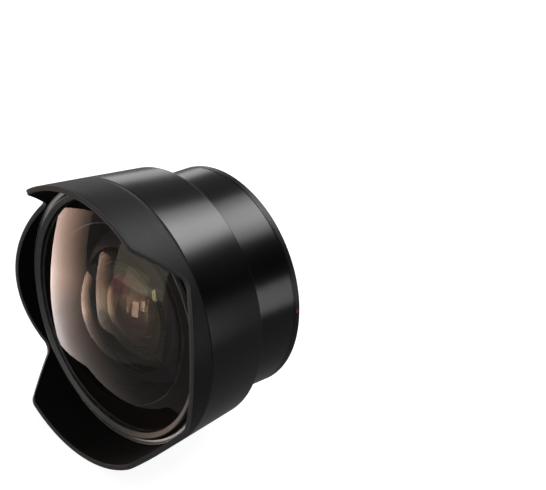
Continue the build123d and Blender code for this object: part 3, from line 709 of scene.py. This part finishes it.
def solid_finish(
    name, colour, roughness, metallic=0.0, shine=0.5, grain=900.0, height=0.02, vary=0.12, coat=0.0,
):
    """A finish with a fine grain in its bump, and patches of slightly different colour and roughness."""
    material = bpy.data.materials.new(name)
    material.use_nodes = True
    tree = material.node_tree
    shader = tree.nodes["Principled BSDF"]
    shader.inputs["Metallic"].default_value = metallic
    shader.inputs["Specular IOR Level"].default_value = shine
    shader.inputs["Coat Weight"].default_value = coat
    where = tree.nodes.new("ShaderNodeTexCoord")
    patches = node(tree, "ShaderNodeTexNoise", Scale=90.0, Detail=4.0, Roughness=0.6)
    tree.links.new(where.outputs["Object"], patches.inputs["Vector"])
    tint = tree.nodes.new("ShaderNodeValToRGB")
    tint.color_ramp.elements[0].color = [c * (1 - vary) for c in colour] + [1]
    tint.color_ramp.elements[1].color = [min(1, c * (1 + vary)) for c in colour] + [1]
    tree.links.new(patches.outputs["Fac"], tint.inputs["Fac"])
    tree.links.new(tint.outputs["Color"], shader.inputs["Base Color"])
    smoothest, roughest = roughness * (1 - vary), min(1, roughness * (1 + vary))
    sheen = node(tree, "ShaderNodeMapRange", To_Min=smoothest, To_Max=roughest)
    tree.links.new(patches.outputs["Fac"], sheen.inputs["Value"])
    tree.links.new(sheen.outputs["Result"], shader.inputs["Roughness"])
    fine = node(tree, "ShaderNodeTexNoise", Scale=grain, Detail=2.0, Roughness=0.5)
    tree.links.new(where.outputs["Object"], fine.inputs["Vector"])
    bump = node(tree, "ShaderNodeBump", Strength=0.35, Distance=height * MM)
    tree.links.new(fine.outputs["Fac"], bump.inputs["Height"])
    tree.links.new(bump.outputs["Normal"], shader.inputs["Normal"])
    return material


# %% Solid finishes, one for each material slot
finishes = {
    "hood_plastic": solid_finish(
        "moulded_hood", (0.0045, 0.0045, 0.0055), 0.50, shine=0.30, grain=1600, height=0.03,
    ),
    "ring_metal": solid_finish(
        "turned_ring", (0.17, 0.18, 0.19), 0.40, metallic=0.5, grain=1200, height=0.01,
    ),
    "barrel_metal": solid_finish("satin_enamel", (0.0022, 0.0022, 0.0026), 0.22, grain=2200, height=0.006),
    "mount_metal": solid_finish(
        "dense_anodising", (0.006, 0.006, 0.007), 0.38, metallic=0.2, grain=2000, height=0.008,
    ),
    "cell_metal": solid_finish(
        "matte_anodising", (0.006, 0.006, 0.007), 0.45, metallic=0.2, shine=0.4, grain=1500, height=0.01,
    ),
    "seal_rubber": solid_finish("seal_rubber", (0.02, 0.02, 0.02), 0.75, grain=700),
    "pad_rubber": solid_finish("pad_rubber", (0.03, 0.03, 0.03), 0.8, grain=700, height=0.03),
    "screw_steel": solid_finish(
        "black_oxide", (0.06, 0.06, 0.062), 0.35, metallic=0.9, grain=2500, height=0.005,
    ),
    "spring_steel": solid_finish(
        "spring_steel", (0.55, 0.55, 0.56), 0.28, metallic=1.0, grain=3000, height=0.004,
    ),
    "pin_steel": solid_finish(
        "ground_steel", (0.6, 0.6, 0.61), 0.25, metallic=1.0, grain=3000, height=0.004,
    ),
    "bracket_brass": solid_finish(
        "plain_brass", (0.6, 0.46, 0.2), 0.3, metallic=1.0, grain=2500, height=0.004,
    ),
    "knob_plastic": solid_finish("moulded_knob", (0.025, 0.025, 0.027), 0.5, grain=1500),
    "index_paint": solid_finish("red_enamel", (0.40, 0.03, 0.02), 0.3, grain=1200, height=0.006, coat=0.4),
}
print(len(finishes), "material slots have a solid finish")

# %% [markdown]
# Some pieces need another finish on part of their faces. The hood is paler along its cut edge, a painted
# highlight that stands in for the light its rounded edge catches; it is bright on the ledge inside it, and
# black like flock on the rest of its inside. The glasses are painted on their edges.

# %% Finishes for part of a piece
# Painted highlight: the hood's cut edge gets a paler colour in place of the light that its rounded edge
# catches.
rim_highlight_finish = solid_finish(
    "painted_rim_highlight", (0.095, 0.098, 0.108), 0.6, shine=0.4, grain=1600, height=0.03,
)
bare_ledge = solid_finish("bare_ledge", (0.78, 0.86, 0.92), 0.30, metallic=0.9, grain=1600, height=0.01)
hood_inside = solid_finish(
    "flocked_inside", (0.003, 0.003, 0.003), 0.8, shine=0.2, grain=2600, height=0.05,
)
edge_paint = solid_finish("edge_paint", (0.002, 0.002, 0.002), 0.6, shine=0.1, grain=1800, height=0.01)
print("solid finishes:", [material.name for material in bpy.data.materials])

# %% [markdown]
# ## Coated glass
# A lens coating cancels most of the reflection and tints what is left. The Principled shader does both:
# its specular level lowers the mirror and its tint colours it. Cycles blocks lamps behind any bending
# glass, so for shadow rays the glass is swapped for a clear one, or the inside would be pitch dark. The
# hollow sides of the two large glasses have a stronger coating, and so a weaker mirror.

# %% Glass finishes
clear_share = 0.9


def mix_by(tree, factor, off, on):
    """Shows the first shader where the factor is 0 and the second where it is 1."""
    mix = tree.nodes.new("ShaderNodeMixShader")
    tree.links.new(factor, mix.inputs["Fac"])
    tree.links.new(off, mix.inputs[1])
    tree.links.new(on, mix.inputs[2])
    return mix.outputs["Shader"]


def glass_finish(name, tint, mirror_tint, shine, bend=1.52):
    """Clear bending glass with a coated surface, which lets lamps through to what is behind it."""
    material = bpy.data.materials.new(name)
    material.use_nodes = True
    tree = material.node_tree
    shader = tree.nodes["Principled BSDF"]
    shader.inputs["Base Color"].default_value = (*tint, 1)
    shader.inputs["Roughness"].default_value = 0.0
    shader.inputs["IOR"].default_value = bend
    shader.inputs["Transmission Weight"].default_value = 1.0
    shader.inputs["Specular IOR Level"].default_value = shine
    shader.inputs["Specular Tint"].default_value = (*mirror_tint, 1)
    clear = node(tree, "ShaderNodeBsdfTransparent", Color=(*[c * clear_share for c in tint], 1))
    path = tree.nodes.new("ShaderNodeLightPath")
    surface = mix_by(tree, path.outputs["Is Shadow Ray"], shader.outputs["BSDF"], clear.outputs["BSDF"])
    tree.links.new(surface, tree.nodes["Material Output"].inputs["Surface"])
    return material


crown_tint, amber_tint = (0.97, 0.95, 0.93), (0.96, 0.93, 0.86)
finishes["front_glass"] = glass_finish("coated_front_glass", crown_tint, (1.0, 0.94, 0.90), shine=0.5)
hollow_coating = glass_finish("coated_hollow", crown_tint, (1.0, 0.90, 0.60), shine=0.06)
finishes["second_glass"] = glass_finish("coated_second_glass", amber_tint, (1.0, 0.90, 0.74), shine=0.7)
second_hollow_coating = glass_finish("coated_second_hollow", amber_tint, (0.9, 1.0, 0.55), shine=0.08)
finishes["pair_glass"] = glass_finish("coated_pair_glass", (0.95, 0.95, 0.95), (1.0, 0.26, 0.50), shine=0.8)
finishes["tail_glass"] = glass_finish("coated_tail_glass", (0.95, 0.96, 0.95), (0.8, 1.0, 0.5), shine=0.6)
print("material slots with a finish:", sorted(finishes))

# %% [markdown]
# ## Every piece gets its finish
# A CAD node has one material slot, written in the record. A piece that was made here has the slot that it
# was placed with, and after it the extra finishes, in the order of its faces' numbers. Emptying a mesh's
# list of materials resets those numbers, so they are kept aside and put back.

# %% Give every piece its finish
extra_finishes = {
    "petal_hood": [rim_highlight_finish, hood_inside, bare_ledge],
    "front_glass": [edge_paint, hollow_coating],
    "second_glass": [edge_paint, second_hollow_coating],
}
record_slots = {row["node"]: row["material_slot"] for row in frame["record"]["subparts"]}
for name, piece in frame["nodes"].items():
    piece.data.materials.clear()
    piece.data.materials.append(finishes[record_slots[name]])
for piece in bpy.data.objects:
    if piece.type == "MESH" and piece.name not in frame["nodes"]:
        own_finish = finishes[piece["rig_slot"]]
        extras = [edge_paint, own_finish] if piece.name.endswith("_glass") else []
        shown = [face.material_index for face in piece.data.polygons]
        piece.data.materials.clear()
        for finish in [own_finish] + extra_finishes.get(piece.name, extras):
            piece.data.materials.append(finish)
        piece.data.polygons.foreach_set("material_index", shown)

# %% [markdown]
# ## Floor and backdrop
# The floor is white to the camera and keeps the lens's shadow. Reflections don't show it, because the large
# soft box for the glass reaches below the horizon, where the floor would hide it. The world is white to the
# camera too, but much darker in reflections and through glass: a black object mirrors whatever is bright,
# and would look grey in an all-white room.

# %% Floor
scene = bpy.context.scene
stand_z, floor_half = -reach("hood"), 4000
floor_grey, floor_glow_strength = 0.45, 0.93
floor = mesh_piece("floor", [
    (-floor_half, -floor_half, stand_z), (floor_half, -floor_half, stand_z),
    (floor_half, floor_half, stand_z), (-floor_half, floor_half, stand_z),
], [(0, 1, 2, 3)])
floor_paint = bpy.data.materials.new("pale_floor")
floor_paint.use_nodes = True
floor_tree = floor_paint.node_tree
floor_shader = floor_tree.nodes["Principled BSDF"]
floor_shader.inputs["Base Color"].default_value = (floor_grey, floor_grey, floor_grey, 1)
floor_shader.inputs["Roughness"].default_value = 0.9
floor_glow = node(floor_tree, "ShaderNodeEmission", Color=(1, 1, 1, 1), Strength=floor_glow_strength)
floor_path = floor_tree.nodes.new("ShaderNodeLightPath")
floor_sum = floor_tree.nodes.new("ShaderNodeAddShader")
floor_tree.links.new(floor_shader.outputs["BSDF"], floor_sum.inputs[0])
floor_tree.links.new(floor_glow.outputs["Emission"], floor_sum.inputs[1])
floor_surface = mix_by(
    floor_tree, floor_path.outputs["Is Camera Ray"],
    floor_shader.outputs["BSDF"], floor_sum.outputs["Shader"],
)
floor_tree.links.new(floor_surface, floor_tree.nodes["Material Output"].inputs["Surface"])
floor.data.materials.append(floor_paint)
floor.visible_glossy = False
floor.visible_transmission = False
print("floor lies at", round(stand_z, 2), "mm")

# %% World
room_light, mirrored_white = 0.05, 0.16
world = bpy.data.worlds.new("studio")
world.use_nodes = True
scene.world = world
world_tree = world.node_tree
room = world_tree.nodes["Background"]
room.inputs["Color"].default_value = (1, 1, 1, 1)
room.inputs["Strength"].default_value = room_light
backdrop = node(world_tree, "ShaderNodeBackground", Color=(1, 1, 1, 1), Strength=1.0)
mirrored = node(world_tree, "ShaderNodeBackground", Color=(1, 1, 1, 1), Strength=mirrored_white)
world_path = world_tree.nodes.new("ShaderNodeLightPath")
either = world_tree.nodes.new("ShaderNodeMath")
either.operation = "MAXIMUM"
world_tree.links.new(world_path.outputs["Is Glossy Ray"], either.inputs[0])
world_tree.links.new(world_path.outputs["Is Transmission Ray"], either.inputs[1])
in_mirror = mix_by(
    world_tree, either.outputs["Value"], room.outputs["Background"], mirrored.outputs["Background"],
)
world_surface = mix_by(
    world_tree, world_path.outputs["Is Camera Ray"], in_mirror, backdrop.outputs["Background"],
)
world_tree.links.new(world_surface, world_tree.nodes["World Output"].inputs["Surface"])
print("room light:", room_light, "white in reflections:", mirrored_white)

# %% [markdown]
# ## Soft boxes
# A black object on white needs light that is shaped, because it shows nothing but reflections. A large
# warm soft box at the left draws the sheen on the glass, one behind and above draws the band along the
# barrels, and weak ones fill the rest. Each is given by the angles that it fills, seen from the lens, and
# by its brightness there.

# %% Directions from the lens
lens_middle = Vector((0, -27 * MM, 0))


def aim_at(azimuth, elevation):
    """Direction from the lens: azimuth 0 is in front of the glass, 90 on the index side."""
    return Vector((
        cos(radians(elevation)) * sin(radians(azimuth)),
        -cos(radians(elevation)) * cos(radians(azimuth)),
        sin(radians(elevation)),
    ))


print("the index side lies along", [round(part, 2) for part in aim_at(90, 0)])

# %% [markdown]
# A studio panel fades towards its sides. Two colour ramps do that here, one across the panel and one up it,
# and their product is the lamp's colour at each place. An evenly lit panel would look cut out in the glass.

# %% A lamp that fades towards its sides
def shade_lamp(lamp, ramps):
    """Gives a lamp one ramp across its width and one up its height, of (place, grey or colour) stops."""
    lamp.use_nodes = True
    tree = lamp.node_tree
    spot = tree.nodes.new("ShaderNodeNewGeometry")
    split = tree.nodes.new("ShaderNodeSeparateXYZ")
    tree.links.new(spot.outputs["Parametric"], split.inputs["Vector"])
    both = tree.nodes.new("ShaderNodeMix")
    both.data_type = "RGBA"
    both.blend_type = "MULTIPLY"
    both.inputs["Factor"].default_value = 1.0
    both_in = [socket for socket in both.inputs if socket.type == "RGBA"]
    for axis, stops, into in zip("XY", ramps, both_in):
        ramp = tree.nodes.new("ShaderNodeValToRGB")
        while len(ramp.color_ramp.elements) < len(stops):
            ramp.color_ramp.elements.new(0.5)
        for element, (position, value) in zip(ramp.color_ramp.elements, stops):
            element.position = position
            element.color = (*value, 1) if isinstance(value, tuple) else (value, value, value, 1)
        tree.links.new(split.outputs[axis], ramp.inputs["Fac"])
        tree.links.new(ramp.outputs["Color"], into)
    both_out = [socket for socket in both.outputs if socket.type == "RGBA"][0]
    tree.links.new(both_out, tree.nodes["Emission"].inputs["Color"])


# %% A soft box
def soft_box(
    name, azimuth, elevation, width, height, radiance, colour=(1, 1, 1), distance=0.7, roll=0, ramps=None,
):
    """An area lamp that fills a width and height in degrees, seen from the lens in a direction."""
    lamp = bpy.data.lights.new(name, "AREA")
    lamp.shape = "RECTANGLE"
    lamp.size, lamp.size_y = (2 * distance * tan(radians(a) / 2) for a in (width, height))
    lamp.energy = radiance * pi * lamp.size * lamp.size_y
    lamp.color = colour
    box = bpy.data.objects.new(name, lamp)
    scene.collection.objects.link(box)
    box.location = lens_middle + aim_at(azimuth, elevation) * distance
    box.rotation_euler = aim_at(azimuth, elevation).to_track_quat("Z", "Y").to_euler()
    box.rotation_euler.rotate_axis("Z", radians(roll))
    if ramps:
        shade_lamp(lamp, ramps)
    print(name, "is", round(lamp.size, 2), "by", round(lamp.size_y, 2), "m")
    return box


# %% The soft boxes of this picture
panel_across = [
    (0.0, (0.72, 0.67, 0.65)), (0.2, (1.0, 0.86, 0.80)), (0.53, (0.70, 0.53, 0.45)),
    (0.75, (0.42, 0.30, 0.24)), (0.88, (0.22, 0.16, 0.12)), (1.0, (0.09, 0.07, 0.06)),
]
panel_up = [
    (0.0, 0.0), (0.12, 0.03), (0.28, 0.09), (0.37, 0.17), (0.44, (0.34, 0.34, 0.35)),
    (0.52, (0.78, 0.74, 0.72)), (0.62, (0.68, 0.61, 0.58)), (1.0, (0.62, 0.52, 0.48)),
]
band_across = [(0.0, 0.2), (0.2, 0.6), (0.38, 1.0), (0.65, 0.95), (0.82, 0.5), (1.0, 0.25)]
band_up = [(0.0, 0.4), (0.2, 0.9), (0.35, 1.0), (0.6, 0.9), (0.8, 0.5), (1.0, 0.2)]
soft_box(
    "glass_panel", azimuth=-75, elevation=-22, width=54, height=80, radiance=6.5, roll=14,
    ramps=(panel_across, panel_up),
)
soft_box(
    "barrel_band", azimuth=170, elevation=46, width=40, height=44, radiance=7.2,
    ramps=(band_across, band_up),
)
soft_box(
    "front_veil", azimuth=-17, elevation=11, width=30, height=30, radiance=0.7, colour=(1.0, 0.92, 0.72),
)
soft_box("rear_patch", azimuth=122, elevation=-3, width=18, height=20, radiance=2.2)
pink_spark = soft_box(
    "pink_spark", azimuth=27, elevation=15, width=9, height=20, radiance=16, colour=(1.0, 0.72, 0.76),
)
green_spark = soft_box(
    "green_spark", azimuth=57, elevation=36, width=6, height=14, radiance=8, colour=(0.95, 1.0, 0.72),
)
soft_box("top_fill", azimuth=60, elevation=70, width=60, height=60, radiance=0.4)
soft_box("edge_fill", azimuth=-136, elevation=10, width=36, height=16, radiance=1.4)

# %% [markdown]
# The two sparks are small bright windows in front, whose images sit deep in the glass. They would also
# draw hard streaks on the barrels. Light linking keeps them to the pieces in one collection: the glasses.

# %% Sparks that light only the glasses
lit_glasses = bpy.data.collections.new("lit_glasses")
for piece in bpy.data.objects:
    if piece.name.endswith("_glass"):
        lit_glasses.objects.link(piece)
for spark in (pink_spark, green_spark):
    spark.light_linking.receiver_collection = lit_glasses

# %% [markdown]
# ## Black cards
# In a studio, a black card is held up where a reflection should be dark. Here one card takes the light out
# of the barrels' side. A second one stands close behind the lens and is only seen through its glasses, so
# that the white backdrop doesn't shine through the rear opening.

# %% Cards
card_paper = bpy.data.materials.new("black_card")
card_paper.use_nodes = True
card_shader = card_paper.node_tree.nodes["Principled BSDF"]
card_shader.inputs["Base Color"].default_value = (0.001, 0.001, 0.001, 1)
card_shader.inputs["Specular IOR Level"].default_value = 0.0


def dark_card(name, azimuth, elevation, width, height, distance, seen_through=False):
    """A black card that only keeps light out of reflections, or out of what is seen through glass."""
    half_width, half_height = (distance * tan(radians(a) / 2) / MM for a in (width, height))
    card = mesh_piece(name, [
        (-half_width, -half_height, 0), (half_width, -half_height, 0),
        (half_width, half_height, 0), (-half_width, half_height, 0),
    ], [(0, 1, 2, 3)])
    card.location = lens_middle + aim_at(azimuth, elevation) * distance
    card.rotation_euler = aim_at(azimuth, elevation).to_track_quat("Z", "Y").to_euler()
    card.data.materials.append(card_paper)
    card.visible_camera = card.visible_diffuse = card.visible_shadow = False
    card.visible_glossy, card.visible_transmission = not seen_through, seen_through
    print(name, "is", round(2 * half_width), "by", round(2 * half_height), "mm")


dark_card("barrel_card", azimuth=150, elevation=25, width=60, height=30, distance=0.5)
dark_card("glass_card", azimuth=180, elevation=0, width=100, height=100, distance=0.12, seen_through=True)

# %% [markdown]
# ## Rays through many glasses
# A ray crosses twelve glass surfaces on its way through the lens and is mirrored between some of them. With
# too few bounces it would end inside as a black patch, so the limits are high. Light that mirrors focus
# only adds noise here, so it is left out.

# %% Render settings that belong to the look
scene.view_settings.view_transform = "Standard"
scene.cycles.max_bounces = 24
scene.cycles.transmission_bounces = 20
scene.cycles.transparent_max_bounces = 32
scene.cycles.glossy_bounces = 8
scene.cycles.caustics_reflective = False
scene.cycles.caustics_refractive = True
scene.cycles.sample_clamp_indirect = 4.0
print("bounces:", scene.cycles.max_bounces, "through glass:", scene.cycles.transmission_bounces)
